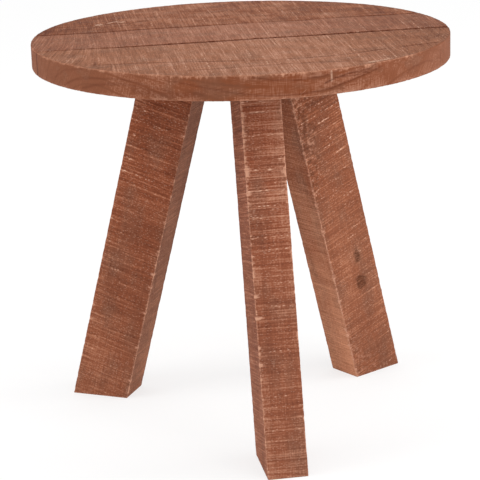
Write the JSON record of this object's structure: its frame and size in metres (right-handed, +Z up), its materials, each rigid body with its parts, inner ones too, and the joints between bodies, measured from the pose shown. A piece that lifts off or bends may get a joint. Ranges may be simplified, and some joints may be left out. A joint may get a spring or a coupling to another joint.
{
  "type": "side table",
  "caption": "Round wooden side table: a thick disc top of edge-glued boards on splayed, rough-sawn rectangular legs held by bolted steel plates.",
  "frame": {"origin": "on the floor, under the centre of the round top", "axes": "+Z up; the front leg points towards -Y; the boards run along X, turned half a degree"},
  "size_m": [0.5, 0.5, 0.475],
  "materials": {
    "top_wood": "rough-sawn boards, red-brown stain, matt",
    "leg_wood": "rough-sawn posts, red-brown stain, matt, arrises rubbed pale",
    "dowel_wood": "plain beech",
    "plate_steel": "black powder coat",
    "screw_steel": "yellow zinc plate",
    "bolt_steel": "bright zinc plate",
    "insert_brass": "turned brass"
  },
  "bodies": {
    "root": {"board_back": "top_wood", "board_middle": "top_wood", "board_front": "top_wood", "dowels_back_seam": "dowel_wood", "dowels_front_seam": "dowel_wood", "leg_front": "leg_wood", "leg_left": "leg_wood", "leg_right": "leg_wood", "leg_plate_front": "plate_steel", "leg_plate_left": "plate_steel", "leg_plate_right": "plate_steel", "leg_screws_front": "screw_steel", "leg_screws_left": "screw_steel", "leg_screws_right": "screw_steel", "plate_bolts_front": "bolt_steel", "plate_bolts_left": "bolt_steel", "plate_bolts_right": "bolt_steel", "washers_front": "bolt_steel", "washers_left": "bolt_steel", "washers_right": "bolt_steel", "inserts_front": "insert_brass", "inserts_left": "insert_brass", "inserts_right": "insert_brass"}
  },
  "joints": []
}
